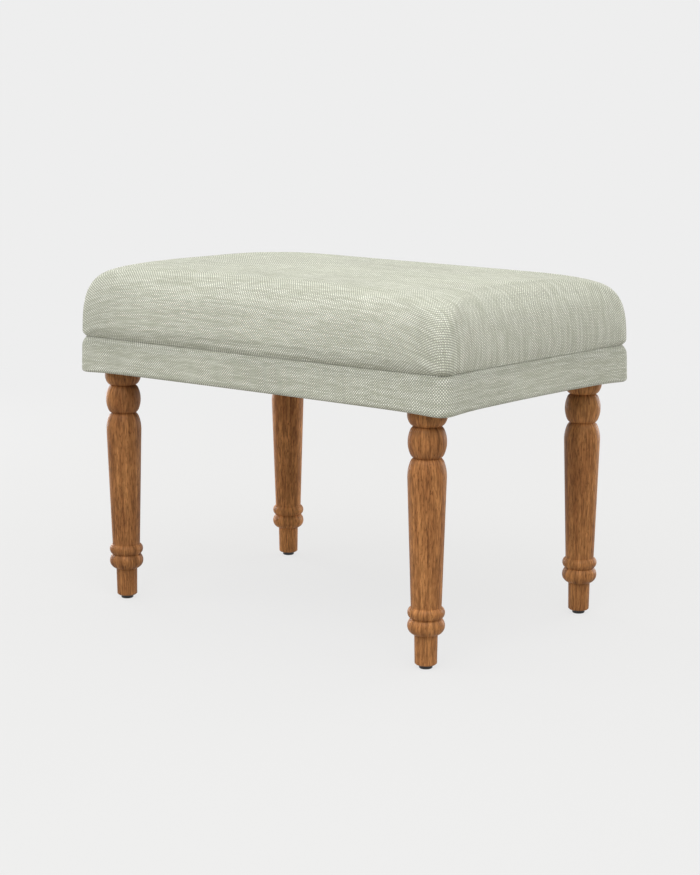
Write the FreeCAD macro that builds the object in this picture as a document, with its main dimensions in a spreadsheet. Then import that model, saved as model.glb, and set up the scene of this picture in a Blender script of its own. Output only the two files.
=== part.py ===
import FreeCAD, Part
import Sketcher
import math
import os
import re

# Upholstered bench: a padded seat with a plain border band on four turned legs.
# Millimetres. Origin on the floor under the middle of the seat, X along the seat, front at -Y, Z up.

SIZES = {
    # Seat outline, measured corner to corner over the border band
    "seat_length": 610,
    "seat_depth": 393,
    "corner_radius": 9,
    "end_draw": 8,
    "side_draw": 5,
    # Cushion form above the groove
    "cushion_height": 97,
    "crown_height": 5.5,
    "edge_inset": 41,
    "edge_height": 104,
    "edge_squareness": 3.8,
    "corner_growth": 1.65,
    "bulge_rise": 10,
    # Soft layers
    "soft_gap": 0.3,
    "cover_thickness": 1.5,
    "cover_skirt": 20,
    "wrap_thickness": 8,
    "band_thickness": 2,
    "band_edge_round": 4,
    "band_return": 22,
    "strip_thickness": 1.5,
    "strip_width": 12,
    "strip_end_room": 32,
    "padding_thickness": 2.5,
    "deck_thickness": 0.8,
    "deck_margin": 3,
    "dust_thickness": 0.6,
    "dust_inset": 8,
    # Webbing
    "webbing_width": 50,
    "webbing_thickness": 1.2,
    "webbing_margin": 4,
    "long_strap_pitch": 70,
    "cross_strap_pitch": 80,
    # Wooden frame
    "rail_thickness": 20,
    "rail_height": 40.6,
    "post_length": 70,
    "post_depth": 52,
    "dowel_radius": 4,
    "dowel_length": 36,
    "dowel_spacing": 20,
    "fit_clearance": 0.1,
    "hole_end_room": 0.5,
    # Leg places, from the seat corner to the leg's middle
    "leg_inset_x": 48.4,
    "leg_inset_y": 32.4,
    # Leg turning, from the floor up: lengths, then radii
    "glide_height": 4.9,
    "foot_bevel": 1.5,
    "foot_length": 36.6,
    "lower_bead_under": 10.9,
    "lower_bead_over": 8.9,
    "upper_bead_under": 7.2,
    "upper_bead_over": 6.6,
    "shaft_length": 157.1,
    "shoulder_length": 22.5,
    "ball_half": 18.75,
    "collar_curve": 13.8,
    "collar_length": 4.4,
    "foot_radius": 13.5,
    "foot_top_radius": 14.1,
    "lower_bead_radius": 22.5,
    "bead_neck_radius": 18.6,
    "upper_bead_radius": 22.4,
    "shaft_bottom_radius": 18.4,
    "shaft_top_radius": 23.3,
    "shoulder_neck_radius": 16.2,
    "ball_radius": 23.1,
    "collar_neck_radius": 16.3,
    "collar_radius": 24,
    "crest_share_out": 0.42,
    "crest_share_along": 0.76,
    # Fixings
    "glide_radius": 8.2,
    "glide_round": 1.5,
    "nail_radius": 1.2,
    "nail_in_glide": 3,
    "nail_in_leg": 17,
    "bolt_radius": 4,
    "bolt_in_leg": 32,
    "nut_barrel_radius": 5.2,
    "nut_barrel_length": 12,
    "nut_flange_radius": 10,
    "nut_flange_thickness": 1.5,
    "staple_crown": 10,
    "staple_wire": 1,
    "staple_leg": 8,
    "staple_inset": 9,
    "strap_staple_spacing": 26,
    "dust_staple_pitch": 60,
}

doc = FreeCAD.newDocument("upholstered_bench")
sheet = doc.addObject("Spreadsheet::Sheet", "Sizes")
for row, (alias, value) in enumerate(SIZES.items(), start=1):
    sheet.set(f"A{row}", alias)
    sheet.set(f"B{row}", str(value))
    sheet.setAlias(f"B{row}", alias)
doc.recompute()

# Heights and half sizes that several pieces share, as formulas of the sheet's values
FOOT_BOTTOM = "glide_height"
FOOT_TOP = f"({FOOT_BOTTOM} + foot_length)"
LOWER_BEAD = f"({FOOT_TOP} + lower_bead_under)"
BEAD_NECK = f"({LOWER_BEAD} + lower_bead_over)"
UPPER_BEAD = f"({BEAD_NECK} + upper_bead_under)"
SHAFT_BOTTOM = f"({UPPER_BEAD} + upper_bead_over)"
SHAFT_TOP = f"({SHAFT_BOTTOM} + shaft_length)"
SHOULDER_NECK = f"({SHAFT_TOP} + shoulder_length)"
BALL = f"({SHOULDER_NECK} + ball_half)"
COLLAR_NECK = f"({BALL} + ball_half)"
COLLAR = f"({COLLAR_NECK} + collar_curve)"
LEG_TOP = f"({COLLAR} + collar_length)"
BAND_BOTTOM = f"({LEG_TOP} + dust_thickness)"
RAIL_BOTTOM = f"({BAND_BOTTOM} + band_thickness + soft_gap)"
RAIL_TOP = f"({RAIL_BOTTOM} + rail_height)"
RAIL_MIDDLE = f"({RAIL_BOTTOM} + rail_height / 2)"
DECK_BOTTOM = f"({RAIL_TOP} + 2 * webbing_thickness + soft_gap)"
CUSHION_BASE = f"({DECK_BOTTOM} + deck_thickness)"
BAND_TOP = f"({CUSHION_BASE} - soft_gap)"

STRIP_OFFSET = "(band_thickness + soft_gap)"
GROOVE_DEPTH = f"({STRIP_OFFSET} + strip_thickness + soft_gap)"
PADDING_OFFSET = f"({GROOVE_DEPTH} + cover_thickness + soft_gap)"
FRAME_OFFSET = f"({PADDING_OFFSET} + padding_thickness + soft_gap)"
FRAME_X = f"(seat_length / 2 - end_draw - {FRAME_OFFSET})"
FRAME_Y = f"(seat_depth / 2 - side_draw - {FRAME_OFFSET})"
LEG_X = "(seat_length / 2 - leg_inset_x)"
LEG_Y = "(seat_depth / 2 - leg_inset_y)"

CORNERS = {
    "front_left": (-1, -1),
    "front_right": (1, -1),
    "back_left": (-1, 1),
    "back_right": (1, 1),
}

parts = {}


def formula(text):
    """Point each size name in a formula at its cell of the sheet."""
    def cell(word):
        return f"Sizes.{word[0]}" if word[0] in SIZES else word[0]

    return re.sub(r"[a-z][a-z_]*[a-z]", cell, text)


def size(text):
    """Value of a formula, in millimetres."""
    return float(sheet.evalExpression(formula(text)))


def bind(thing, **formulas):
    """Bind properties of an object to formulas of the sheet."""
    for name, text in formulas.items():
        thing.setExpression(name, formula(text))
    return thing


def place(thing, x, y, z):
    """Bind an object's place to three formulas."""
    for axis, text in zip("xyz", (x, y, z)):
        thing.setExpression(f"Placement.Base.{axis}", formula(text))
    return thing


def keep(label, thing):
    """Name an object as one of the sub-parts that are written out."""
    thing.Label = label
    parts[label] = thing
    return thing


def box(x, y, z, length, width, height):
    """A block from its least corner."""
    thing = bind(doc.addObject("Part::Box", "Block"), Length=length, Width=width, Height=height)
    return place(thing, x, y, z)


def rod(x, y, z, radius, height, axis="z"):
    """A round rod that starts at a point and runs along an axis."""
    thing = bind(doc.addObject("Part::Cylinder", "Rod"), Radius=radius, Height=height)
    turn = {"x": ((0, 1, 0), 90), "y": ((1, 0, 0), -90), "z": ((0, 0, 1), 0)}[axis]
    thing.Placement.Rotation = FreeCAD.Rotation(FreeCAD.Vector(*turn[0]), turn[1])
    return place(thing, x, y, z)


def group(members):
    """Several separate solids as one object."""
    thing = doc.addObject("Part::Compound", "Group")
    thing.Links = members
    return thing


def cut(base, *tools):
    """A piece with holes or recesses taken out of it."""
    thing = base
    for tool in tools:
        result = doc.addObject("Part::Cut", "Cut")
        result.Base = thing
        result.Tool = tool
        thing = result
    return thing


def shaped(shape):
    """A piece whose shape is worked out here from the sheet's values."""
    thing = doc.addObject("Part::Feature", "Form")
    thing.Shape = shape
    return thing


def origin_plane(body, role):
    """One of a body's own origin planes."""
    return next(plane for plane in body.Origin.OriginFeatures if plane.Role == role)


def arc_between(start, end, radius):
    """Arc of under a half circle that bulges away from the turning axis, and the angles it spans."""
    chord = end - start
    half = chord.Length / 2
    inward = FreeCAD.Vector(-chord.y, chord.x, 0).normalize()
    centre = (start + end) / 2 + inward * math.sqrt(radius ** 2 - half ** 2)
    from_angle = math.atan2(start.y - centre.y, start.x - centre.x)
    to_angle = math.atan2(end.y - centre.y, end.x - centre.x)
    circle = Part.Circle(centre, FreeCAD.Vector(0, 0, 1), radius)
    return Part.ArcOfCircle(circle, from_angle, to_angle)


def turned(label, steps):
    """A body turned about Z. Each step is a radius, a height and, for an arc to it, the arc's radius."""
    body = doc.addObject("PartDesign::Body", "Turned")
    sketch = body.newObject("Sketcher::SketchObject", "Profile")
    sketch.AttachmentSupport = (origin_plane(body, "XZ_Plane"), "")
    sketch.MapMode = "FlatFace"
    points = [FreeCAD.Vector(size(step[0]), size(step[1]), 0) for step in steps]
    count = len(steps)
    for index in range(count):
        start, end = points[index], points[(index + 1) % count]
        bend = steps[(index + 1) % count][2:]
        edge = arc_between(start, end, size(bend[0])) if bend else Part.LineSegment(start, end)
        sketch.addGeometry(edge)
    for index in range(count):
        sketch.addConstraint(Sketcher.Constraint("Coincident", index, 2, (index + 1) % count, 1))
    for index, step in enumerate(steps):
        for kind, text in (("DistanceX", step[0]), ("DistanceY", step[1])):
            number = sketch.addConstraint(Sketcher.Constraint(kind, -1, 1, index, 1, size(text)))
            sketch.setExpression(f"Constraints[{number}]", formula(text))
        if len(step) == 3:
            curve = (index - 1) % count
            number = sketch.addConstraint(Sketcher.Constraint("Radius", curve, size(step[2])))
            sketch.setExpression(f"Constraints[{number}]", formula(step[2]))
    revolution = body.newObject("PartDesign::Revolution", "Revolution")
    revolution.Profile = sketch
    revolution.ReferenceAxis = (sketch, ["V_Axis"])
    revolution.Angle = 360
    sketch.Visibility = False
    body.Tip = revolution
    return keep(label, body)


def crest_radius(rise, run):
    """Radius of an arc that leaves its crest upright, falls by rise and runs on by run."""
    return f"((({rise}) ^ 2 + ({run}) ^ 2) / (2 * ({rise})))"


def full_round(crest, crest_height, neck, run):
    """Crest to neck as two tangent arcs, flatter at the crest: the point between them and both radii."""
    fall = f"({crest} - {neck})"
    first_fall = f"(crest_share_out * {fall})"
    first_run = f"(crest_share_along * ({run}))"
    last_fall = f"({fall} - {first_fall})"
    last_run = f"(({run}) - {first_run})"
    first = crest_radius(first_fall, first_run)
    lean = f"(({first} - {first_fall}) * {last_fall} - {first_run} * {last_run})"
    last = f"(({last_fall} ^ 2 + {last_run} ^ 2) * {first} / (2 * {lean}))"
    between = (f"({crest} - {first_fall})", f"({crest_height} + {first_run})")
    return between, first, last


# Legs, their glides and the fixings that hold them
def leg(label):
    """A turned leg with a nail hole in its foot and a bolt hole in its top."""
    nail_hole = "(nail_radius + fit_clearance)"
    nail_end = f"({FOOT_BOTTOM} + nail_in_leg + hole_end_room)"
    bolt_hole = "(bolt_radius + fit_clearance)"
    bolt_end = f"({LEG_TOP} - bolt_in_leg - hole_end_room)"
    shoulder, shoulder_crest, shoulder_last = full_round(
        "shaft_top_radius", SHAFT_TOP, "shoulder_neck_radius", "shoulder_length")
    ball_under, under_crest, under_last = full_round(
        "ball_radius", BALL, "shoulder_neck_radius", "-ball_half")
    ball_over, over_crest, over_last = full_round(
        "ball_radius", BALL, "collar_neck_radius", "ball_half")
    collar, collar_crest, collar_last = full_round(
        "collar_radius", COLLAR, "collar_neck_radius", "-collar_curve")
    return turned(label, [
        ("0", nail_end),
        (nail_hole, nail_end),
        (nail_hole, FOOT_BOTTOM),
        ("foot_radius - foot_bevel", FOOT_BOTTOM),
        ("foot_radius", f"{FOOT_BOTTOM} + foot_bevel"),
        ("foot_top_radius", FOOT_TOP),
        ("lower_bead_radius", LOWER_BEAD,
         crest_radius("lower_bead_radius - foot_top_radius", "lower_bead_under")),
        ("bead_neck_radius", BEAD_NECK,
         crest_radius("lower_bead_radius - bead_neck_radius", "lower_bead_over")),
        ("upper_bead_radius", UPPER_BEAD,
         crest_radius("upper_bead_radius - bead_neck_radius", "upper_bead_under")),
        ("shaft_bottom_radius", SHAFT_BOTTOM,
         crest_radius("upper_bead_radius - shaft_bottom_radius", "upper_bead_over")),
        ("shaft_top_radius", SHAFT_TOP),
        (*shoulder, shoulder_crest),
        ("shoulder_neck_radius", SHOULDER_NECK, shoulder_last),
        (*ball_under, under_last),
        ("ball_radius", BALL, under_crest),
        (*ball_over, over_crest),
        ("collar_neck_radius", COLLAR_NECK, over_last),
        (*collar, collar_last),
        ("collar_radius", COLLAR, collar_crest),
        ("collar_radius", LEG_TOP),
        (bolt_hole, LEG_TOP),
        (bolt_hole, bolt_end),
        ("0", bolt_end),
    ])


def glide(label):
    """A plastic glide with a blind hole for its nail."""
    nail_hole = "(nail_radius + fit_clearance)"
    nail_end = "(glide_height - nail_in_glide - hole_end_room)"
    return turned(label, [
        ("0", "0"),
        ("glide_radius - glide_round", "0"),
        ("glide_radius", "glide_round", "glide_round"),
        ("glide_radius", "glide_height"),
        (nail_hole, "glide_height"),
        (nail_hole, nail_end),
        ("0", nail_end),
    ])


def standing(make, name):
    """A turned piece under each corner of the seat."""
    for corner, (side_x, side_y) in CORNERS.items():
        place(make(f"{name}_{corner}"), f"{side_x} * {LEG_X}", f"{side_y} * {LEG_Y}", "0")


def leg_rods(bottom, radius, height):
    """A rod on each leg's axis."""
    return [rod(f"{side_x} * {LEG_X}", f"{side_y} * {LEG_Y}", bottom, radius, height)
            for side_x, side_y in CORNERS.values()]


standing(leg, "leg")
standing(glide, "glide")
NAIL_LENGTH = "(nail_in_glide + nail_in_leg)"
keep("glide_nails", group(leg_rods("glide_height - nail_in_glide", "nail_radius", NAIL_LENGTH)))

BOLT_BOTTOM = f"({LEG_TOP} - bolt_in_leg)"
keep("hanger_bolts", group(leg_rods(BOLT_BOTTOM, "bolt_radius", f"{RAIL_TOP} - {BOLT_BOTTOM}")))


def tee_nut(side_x, side_y):
    """A threaded barrel with a flange, flush with the top of its post."""
    x, y = f"{side_x} * {LEG_X}", f"{side_y} * {LEG_Y}"
    barrel = rod(x, y, f"{RAIL_TOP} - nut_barrel_length", "nut_barrel_radius", "nut_barrel_length")
    flange = rod(x, y, f"{RAIL_TOP} - nut_flange_thickness", "nut_flange_radius", "nut_flange_thickness")
    blank = doc.addObject("Part::Fuse", "NutBlank")
    blank.Base = barrel
    blank.Tool = flange
    bore = rod(x, y, BOLT_BOTTOM, "bolt_radius + fit_clearance", f"{CUSHION_BASE} - {BOLT_BOTTOM}")
    return cut(blank, bore)


keep("tee_nuts", group([tee_nut(*signs) for signs in CORNERS.values()]))


# Soft outlines: a rounded rectangle whose four sides are drawn in between the corners
def outline(offset, height, corner_spread=0.0, share=1.0):
    """Closed wire at a height, inside the seat's outline by an offset; share shrinks it about its middle."""
    half_x = (size("seat_length / 2") - offset) * share
    half_y = (size("seat_depth / 2") - offset) * share
    radius = (size("corner_radius") + corner_spread) * share
    flat_x, flat_y = half_x - radius, half_y - radius
    lean_x = 2 * math.atan(size("side_draw") * share / flat_x)
    lean_y = 2 * math.atan(size("end_draw") * share / flat_y)

    def corner_point(side_x, side_y, angle):
        x = side_x * (flat_x + radius * math.cos(angle))
        y = side_y * (flat_y + radius * math.sin(angle))
        return FreeCAD.Vector(x, y, height)

    low, middle, high = -lean_y, math.pi / 4, math.pi / 2 + lean_x
    end_x = half_x - size("end_draw") * share
    side_y = half_y - size("side_draw") * share
    sides = [FreeCAD.Vector(0, side_y, height), FreeCAD.Vector(-end_x, 0, height),
             FreeCAD.Vector(0, -side_y, height), FreeCAD.Vector(end_x, 0, height)]
    turns = [(1, 1, (low, middle, high)), (-1, 1, (high, middle, low)),
             (-1, -1, (low, middle, high)), (1, -1, (high, middle, low))]
    corners = [[corner_point(sx, sy, angle) for angle in angles] for sx, sy, angles in turns]
    edges = []
    for index, corner in enumerate(corners):
        following = corners[(index + 1) % 4]
        edges.append(Part.Arc(*corner).toShape())
        edges.append(Part.Arc(corner[2], sides[index], following[0]).toShape())
    return Part.Wire(edges)


def prism(offset, bottom, top):
    """Upright solid on the seat's outline, inside it by an offset."""
    face = Part.Face(outline(size(offset), size(bottom)))
    return face.extrude(FreeCAD.Vector(0, 0, size(top) - size(bottom)))


SWELL_STEPS = 3
EDGE_STEPS = 10
EDGE_START = math.radians(14)
CROWN_STEPS = 6
CROWN_END = 0.94
SEW_TOLERANCE = 0.001


def cushion(inset, base):
    """Wires up the cushion's form, a given depth under its surface: swelling sides, soft edge and crown."""
    inset, base = size(inset), size(base)
    power = 2 / size("edge_squareness")
    edge_inset = size("edge_inset") - inset
    edge_top = size(f"{CUSHION_BASE} + cushion_height - crown_height") - inset
    edge_height = size("edge_height") - inset
    growth = size("corner_growth")
    wires = []
    for step in range(SWELL_STEPS + 1):
        share = step / SWELL_STEPS
        offset = inset + size(GROOVE_DEPTH) * (1 - share) ** 2
        wires.append(outline(offset, base + share * size("bulge_rise")))
    for step in range(EDGE_STEPS + 1):
        angle = EDGE_START + (math.pi / 2 - EDGE_START) * step / EDGE_STEPS
        turn_in = edge_inset * (1 - abs(math.cos(angle)) ** power)
        height = edge_top - edge_height * (1 - math.sin(angle) ** power)
        wires.append(outline(inset + turn_in, height, growth * turn_in))
    for step in range(1, CROWN_STEPS + 1):
        share = CROWN_END * step / CROWN_STEPS
        height = edge_top + size("crown_height") * (1 - (1 - share) ** 2)
        wires.append(outline(inset + edge_inset, height, growth * edge_inset, 1 - share))
    return wires


def rim_face(outer, inner):
    """Flat face between two wires at one height."""
    return Part.makeFace([outer, inner], "Part::FaceMakerBullseye")


def closed(faces):
    """One solid from the faces that bound it."""
    shell = Part.makeShell(faces)
    shell.sewShape()
    solid = Part.makeSolid(Part.Shell(shell.Faces))
    if not solid.isValid():
        solid.fix(SEW_TOLERANCE, SEW_TOLERANCE, SEW_TOLERANCE)
    return solid if solid.Volume > 0 else solid.reversed()


def hood(outside, inside):
    """A layer of cloth or wadding that is open underneath, between an outer and an inner stack of wires."""
    faces = Part.makeLoft(outside, False, True).Faces + Part.makeLoft(inside, False, True).Faces
    rim = rim_face(outside[0], inside[0])
    return closed(faces + [rim, Part.Face(outside[-1]), Part.Face(inside[-1])])


# Soft seat: cover, fibre wrap and foam, one inside the other
WRAP_INSET = "(cover_thickness + soft_gap)"
FOAM_INSET = f"({WRAP_INSET} + wrap_thickness + soft_gap)"
SOFT_BASE = f"({CUSHION_BASE} + soft_gap)"
SKIRT_BOTTOM = f"({CUSHION_BASE} - cover_skirt)"
SKIRT_INSIDE = f"({GROOVE_DEPTH} + cover_thickness)"

cover_outside = [outline(size(GROOVE_DEPTH), size(SKIRT_BOTTOM)), *cushion("0", CUSHION_BASE)]
cover_inside = [outline(size(SKIRT_INSIDE), size(SKIRT_BOTTOM)), *cushion("cover_thickness", CUSHION_BASE)]
keep("seat_cover", shaped(hood(cover_outside, cover_inside)))
wrap_inside = cushion(f"{WRAP_INSET} + wrap_thickness", SOFT_BASE)
keep("fibre_wrap", shaped(hood(cushion(WRAP_INSET, SOFT_BASE), wrap_inside)))
keep("foam_core", shaped(Part.makeLoft(cushion(FOAM_INSET, SOFT_BASE), True, True)))


# Border band with its return under the rails, the card strips that stiffen it, and the padding behind it
ROUND_STEPS = 4


def band_wires(inset):
    """Wires up the band's outside, or up its inside where there is an inset."""
    bend = size("band_edge_round") - inset
    bottom = size(BAND_BOTTOM) + inset
    wires = []
    for step in range(ROUND_STEPS + 1):
        angle = math.pi / 2 * step / ROUND_STEPS
        offset = inset + bend * (1 - math.sin(angle))
        wires.append(outline(offset, bottom + bend * (1 - math.cos(angle))))
    wires.append(outline(inset, size(BAND_TOP)))
    return wires


def border_band():
    """Upright band, rounded under, with a flat return that is open in the middle."""
    outside, inside = band_wires(0), band_wires(size("band_thickness"))
    hole_below = outline(size("band_return"), size(BAND_BOTTOM))
    hole_above = outline(size("band_return"), size(f"{BAND_BOTTOM} + band_thickness"))
    faces = []
    for wires in (outside, inside, [hole_below, hole_above]):
        faces += Part.makeLoft(wires, False, True).Faces
    faces.append(rim_face(outside[0], hole_below))
    faces.append(rim_face(inside[0], hole_above))
    faces.append(rim_face(outside[-1], inside[-1]))
    return shaped(closed(faces))


def ring(offset, thickness, bottom, top):
    """A wall of even thickness that follows the seat's outline."""
    wall = prism(offset, bottom, top)
    return wall.cut(prism(f"{offset} + {thickness}", bottom, top))


band = border_band()
STRIP_TOP = f"({BAND_TOP} - band_thickness)"
strip_ring = ring(STRIP_OFFSET, "strip_thickness", f"{STRIP_TOP} - strip_width", STRIP_TOP)


def tack_strip(label, along_x, along_y):
    """The part of the strip ring that lies along one side, between the corners."""
    reach_x, reach_y = size("seat_length / 2"), size("seat_depth / 2")
    short_x, short_y = reach_x - size("strip_end_room"), reach_y - size("strip_end_room")
    low_x, high_x = (-short_x, short_x) if along_x == 0 else sorted((along_x * short_x, along_x * reach_x))
    low_y, high_y = (-short_y, short_y) if along_y == 0 else sorted((along_y * short_y, along_y * reach_y))
    zone = Part.makeBox(high_x - low_x, high_y - low_y, size(STRIP_TOP), FreeCAD.Vector(low_x, low_y, 0))
    keep(label, shaped(strip_ring.common(zone)))


SIDES = {"front": (0, -1), "back": (0, 1), "left": (-1, 0), "right": (1, 0)}
for side, signs in SIDES.items():
    tack_strip(f"tack_strip_{side}", *signs)

padding = prism(PADDING_OFFSET, RAIL_BOTTOM, RAIL_TOP)
frame_hole = Part.makeBox(
    2 * size(f"{FRAME_X} + soft_gap"), 2 * size(f"{FRAME_Y} + soft_gap"), size("rail_height"),
    FreeCAD.Vector(-size(f"{FRAME_X} + soft_gap"), -size(f"{FRAME_Y} + soft_gap"), size(RAIL_BOTTOM)))
keep("rail_padding", shaped(padding.cut(frame_hole)))


# Places along the frame
RAIL_LINE_X = f"({FRAME_X} - rail_thickness / 2)"
RAIL_LINE_Y = f"({FRAME_Y} - rail_thickness / 2)"
LONG_JOINT = f"({FRAME_X} - post_length)"
END_JOINT = f"({FRAME_Y} - post_depth)"
LONG_REACH = f"({FRAME_X} - webbing_margin)"
CROSS_REACH = f"({FRAME_Y} - webbing_margin)"
BOTH = (-1, 1)


def middle_out(count, pitch):
    """Places on both sides of the middle, an even pitch apart."""
    return [(index - (count - 1) / 2) * pitch for index in range(count)]


# Staples
def staple(x, y, z, crown_along, leg_way):
    """A wire staple, from the middle of its crown's bearing face; leg_way is 1 for legs up, -1 for down."""
    wire, crown, leg_length = size("staple_wire"), size("staple_crown"), size("staple_leg")

    def bar(along, span, low, tall):
        sizes = (span, wire) if crown_along == "x" else (wire, span)
        corner = (along - span / 2, -wire / 2) if crown_along == "x" else (-wire / 2, along - span / 2)
        return Part.makeBox(*sizes, tall, FreeCAD.Vector(x + corner[0], y + corner[1], z + low))

    crown_low, leg_low = (-wire, 0) if leg_way > 0 else (0, -leg_length)
    end = (crown - wire) / 2
    prongs = [bar(side * end, wire, leg_low, leg_length) for side in BOTH]
    return bar(0, crown, crown_low, wire).multiFuse(prongs).removeSplitter()


LONG_STRAPS = ("front", "middle", "back")
CROSS_STRAPS = ("far_left", "left", "middle", "right", "far_right")
long_places = middle_out(len(LONG_STRAPS), size("long_strap_pitch"))
cross_places = middle_out(len(CROSS_STRAPS), size("cross_strap_pitch"))


def webbing_staples():
    """Two staples side by side through each end of each strap."""
    bearing = size(f"{RAIL_TOP} + webbing_thickness")
    beside = [side * size("strap_staple_spacing / 2") for side in BOTH]
    end_x, end_y = size(f"{LONG_REACH} - staple_inset"), size(f"{CROSS_REACH} - staple_inset")
    staples = []
    for side in BOTH:
        for shift in beside:
            staples += [staple(side * end_x, across + shift, bearing, "y", -1) for across in long_places]
            staples += [staple(across + shift, side * end_y, bearing, "x", -1) for across in cross_places]
    return shaped(Part.makeCompound(staples))


def dust_cover_staples():
    """A row of staples under each rail."""
    bearing, pitch = size(LEG_TOP), size("dust_staple_pitch")
    line_x, line_y = size(RAIL_LINE_X), size(RAIL_LINE_Y)
    count_x = 2 * int(size(f"{LONG_JOINT} - staple_crown") / pitch) + 1
    count_y = 2 * int(size(f"{END_JOINT} - staple_crown") / pitch) + 1
    staples = []
    for side in BOTH:
        staples += [staple(along, side * line_y, bearing, "x", 1) for along in middle_out(count_x, pitch)]
        staples += [staple(side * line_x, along, bearing, "y", 1) for along in middle_out(count_y, pitch)]
    return shaped(Part.makeCompound(staples))


strap_staples = keep("webbing_staples", webbing_staples())
under_staples = keep("dust_cover_staples", dust_cover_staples())


# Webbing: long and cross straps laid over and under each other
def strap(reach, pitch, crossings, over):
    """Side view of one strap, from end to end: it rises one thickness where it passes over another."""
    thickness = size("webbing_thickness")
    half = size("webbing_width / 2 + soft_gap")
    ramp = pitch / 2 - half
    level = size(RAIL_TOP)
    under = [(-reach, level)]
    for middle, rises in zip(crossings, over):
        if rises:
            lift = level + thickness
            under += [(middle - half - ramp, level), (middle - half, lift)]
            under += [(middle + half, lift), (middle + half + ramp, level)]
    under.append((reach, level))
    return under + [(along, height + thickness) for along, height in reversed(under)]


def webbing(label, points, across, swap):
    """One strap from its side view, spread over its width; swap turns it to run along Y."""
    width = size("webbing_width")
    near = across - width / 2
    flat = [(along, near, height) for along, height in points]
    corners = [FreeCAD.Vector(y, x, z) if swap else FreeCAD.Vector(x, y, z) for x, y, z in flat]
    spread = FreeCAD.Vector(width, 0, 0) if swap else FreeCAD.Vector(0, width, 0)
    solid = Part.Face(Part.makePolygon([*corners, corners[0]])).extrude(spread)
    keep(label, cut(shaped(solid), strap_staples))


for row, (name, across) in enumerate(zip(LONG_STRAPS, long_places)):
    over = [(row + column) % 2 == 0 for column in range(len(CROSS_STRAPS))]
    side_view = strap(size(LONG_REACH), size("cross_strap_pitch"), cross_places, over)
    webbing(f"webbing_long_{name}", side_view, across, False)
for column, (name, across) in enumerate(zip(CROSS_STRAPS, cross_places)):
    over = [(row + column) % 2 == 1 for row in range(len(LONG_STRAPS))]
    side_view = strap(size(CROSS_REACH), size("long_strap_pitch"), long_places, over)
    webbing(f"webbing_cross_{name}", side_view, across, True)


# Wooden frame: four corner posts and four rails, dowelled together
def dowel_rods(radius, length):
    """Two rods across each joint between a post and a rail."""
    rods = []
    for side_x, side_y in CORNERS.values():
        for step in BOTH:
            height = f"{RAIL_MIDDLE} + {step} * dowel_spacing / 2"
            start_x = f"{side_x} * {LONG_JOINT} - ({length}) / 2"
            start_y = f"{side_y} * {END_JOINT} - ({length}) / 2"
            rods.append(rod(start_x, f"{side_y} * {RAIL_LINE_Y}", height, radius, length, "x"))
            rods.append(rod(f"{side_x} * {RAIL_LINE_X}", start_y, height, radius, length, "y"))
    return group(rods)


keep("rail_dowels", dowel_rods("dowel_radius", "dowel_length"))
dowel_holes = dowel_rods("dowel_radius + fit_clearance", "dowel_length + 2 * hole_end_room")


def corner_post(corner, side_x, side_y):
    """A block at a corner of the frame that takes the leg's bolt and its nut."""
    x = LONG_JOINT if side_x > 0 else f"-{FRAME_X}"
    y = END_JOINT if side_y > 0 else f"-{FRAME_Y}"
    block = box(x, y, RAIL_BOTTOM, "post_length", "post_depth", "rail_height")
    axis_x, axis_y = f"{side_x} * {LEG_X}", f"{side_y} * {LEG_Y}"
    barrel_room = "(nut_barrel_length + hole_end_room)"
    bore = rod(axis_x, axis_y, RAIL_BOTTOM, "bolt_radius + fit_clearance", "rail_height")
    barrel = rod(axis_x, axis_y, f"{RAIL_TOP} - {barrel_room}",
                 "nut_barrel_radius + fit_clearance", barrel_room)
    recess = rod(axis_x, axis_y, f"{RAIL_TOP} - nut_flange_thickness",
                 "nut_flange_radius + fit_clearance", "nut_flange_thickness")
    keep(f"corner_post_{corner}", cut(block, bore, barrel, recess, dowel_holes, strap_staples, under_staples))


for corner, signs in CORNERS.items():
    corner_post(corner, *signs)


def rail(label, x, y, length, width):
    """A rail between two posts."""
    plank = box(x, y, RAIL_BOTTOM, length, width, "rail_height")
    keep(label, cut(plank, dowel_holes, strap_staples, under_staples))


rail("front_rail", f"-{LONG_JOINT}", f"-{FRAME_Y}", f"2 * {LONG_JOINT}", "rail_thickness")
rail("back_rail", f"-{LONG_JOINT}", f"{FRAME_Y} - rail_thickness", f"2 * {LONG_JOINT}", "rail_thickness")
rail("left_rail", f"-{FRAME_X}", f"-{END_JOINT}", "rail_thickness", f"2 * {END_JOINT}")
rail("right_rail", f"{FRAME_X} - rail_thickness", f"-{END_JOINT}", "rail_thickness", f"2 * {END_JOINT}")


# Deck cloth over the webbing, dust cover under the frame, and the band cut for the dust cover's staples
DECK_X = f"({FRAME_X} - deck_margin)"
DECK_Y = f"({FRAME_Y} - deck_margin)"
deck = box(f"-{DECK_X}", f"-{DECK_Y}", DECK_BOTTOM, f"2 * {DECK_X}", f"2 * {DECK_Y}", "deck_thickness")
keep("deck_cloth", deck)

dust_sheet = shaped(prism("dust_inset", LEG_TOP, BAND_BOTTOM))
bolt_holes = group(leg_rods(BOLT_BOTTOM, "bolt_radius + fit_clearance", f"{RAIL_TOP} - {BOLT_BOTTOM}"))
keep("dust_cover", cut(dust_sheet, bolt_holes, under_staples))
keep("border_band", cut(band, under_staples))


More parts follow.
